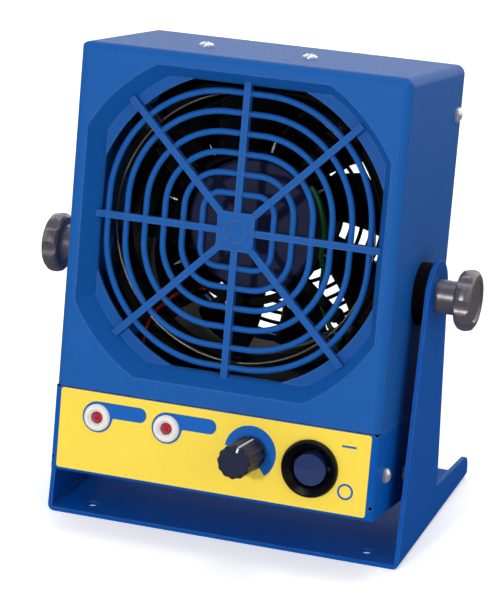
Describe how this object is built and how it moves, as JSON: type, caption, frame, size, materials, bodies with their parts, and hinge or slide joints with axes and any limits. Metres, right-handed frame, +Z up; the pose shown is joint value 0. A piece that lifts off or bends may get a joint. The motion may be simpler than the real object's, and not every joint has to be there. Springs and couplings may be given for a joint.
{
  "type": "benchtop ionizing blower",
  "caption": "Blue benchtop ionizing blower with moulded finger guard, yellow control panel and a tilting stand.",
  "frame": {"origin": "on the surface the stand rests on, under the tilt axis, midway between the arms", "axes": "+X to the right seen from the front, +Y to the rear, +Z up"},
  "size_m": [0.2014, 0.1492, 0.2166],
  "materials": {
    "blue_paint": "satin",
    "blue_plastic": "satin",
    "bare_steel": "satin",
    "yellow_film": "satin",
    "white_plastic": "gloss",
    "red_lens": "gloss",
    "black_plastic": "satin",
    "green_board": "satin",
    "brass": "satin",
    "copper_winding": "satin",
    "green_wire": "satin",
    "red_wire": "satin",
    "black_rubber": "matte",
    "knob_metal": "satin"
  },
  "bodies": {
    "stand": {"stand_bracket": "blue_paint"},
    "clamp_left": {"left_clamp_knob": "knob_metal", "left_clamp_stud": "bare_steel"},
    "clamp_right": {"right_clamp_knob": "knob_metal", "right_clamp_stud": "bare_steel"},
    "fan_rotor": {"impeller": "black_plastic", "fan_shaft": "bare_steel"},
    "flow_control": {"flow_knob": "black_plastic", "pot_shaft": "bare_steel"},
    "switch_rocker": {"switch_rocker": "black_plastic"},
    "housing": {"upper_housing": "blue_plastic", "finger_guard": "blue_plastic", "rear_cover": "blue_plastic", "control_chassis": "blue_paint", "divider_plate": "bare_steel", "control_label": "yellow_film", "lamp_bezels": "white_plastic", "lamp_lenses": "red_lens", "potentiometer": "black_plastic", "pot_nut": "bare_steel", "switch_bezel": "black_plastic", "switch_body": "black_plastic", "power_inlet": "black_plastic", "inlet_pins": "bare_steel", "inlet_screws": "bare_steel", "circuit_board": "green_board", "board_standoffs": "brass", "high_voltage_module": "black_plastic", "fan_frame": "black_plastic", "fan_stator": "copper_winding", "fan_bearing": "brass", "fan_screws": "bare_steel", "emitter_ring": "black_plastic", "emitter_needles": "bare_steel", "emitter_screws": "bare_steel", "counter_electrode": "bare_steel", "green_lead": "green_wire", "red_lead": "red_wire", "rear_wire_guard": "bare_steel", "guard_screws": "bare_steel", "rear_cover_screws": "bare_steel", "top_screws": "bare_steel", "chassis_screws": "bare_steel", "pivot_inserts": "brass", "rubber_washers": "black_rubber"}
  },
  "joints": [
    {"name": "tilt", "type": "hinge", "parent": "stand", "child": "housing", "pos_m": [0, 0, 0.1135], "axis": [1, 0, 0], "range_deg": [-80, 54]},
    {"name": "clamp_left_turn", "type": "hinge", "parent": "housing", "child": "clamp_left", "pos_m": [-0.0832, 0, 0.1135], "axis": [1, 0, 0], "range_deg": [-180, 180]},
    {"name": "clamp_right_turn", "type": "hinge", "parent": "housing", "child": "clamp_right", "pos_m": [0.0832, 0, 0.1135], "axis": [1, 0, 0], "range_deg": [-180, 180]},
    {"name": "fan_spin", "type": "hinge", "parent": "housing", "child": "fan_rotor", "pos_m": [0, 0.00469, 0.13502], "axis": [0, 0.9857, -0.1685], "continuous": true},
    {"name": "flow_turn", "type": "hinge", "parent": "housing", "child": "flow_control", "pos_m": [0.0179, -0.05645, 0.05031], "axis": [0, 0.9857, -0.1685], "range_deg": [-150, 150]},
    {"name": "switch_rock", "type": "hinge", "parent": "housing", "child": "switch_rocker", "pos_m": [0.0455, -0.05297, 0.04697], "axis": [1, 0, 0], "range_deg": [-14, 0]}
  ]
}
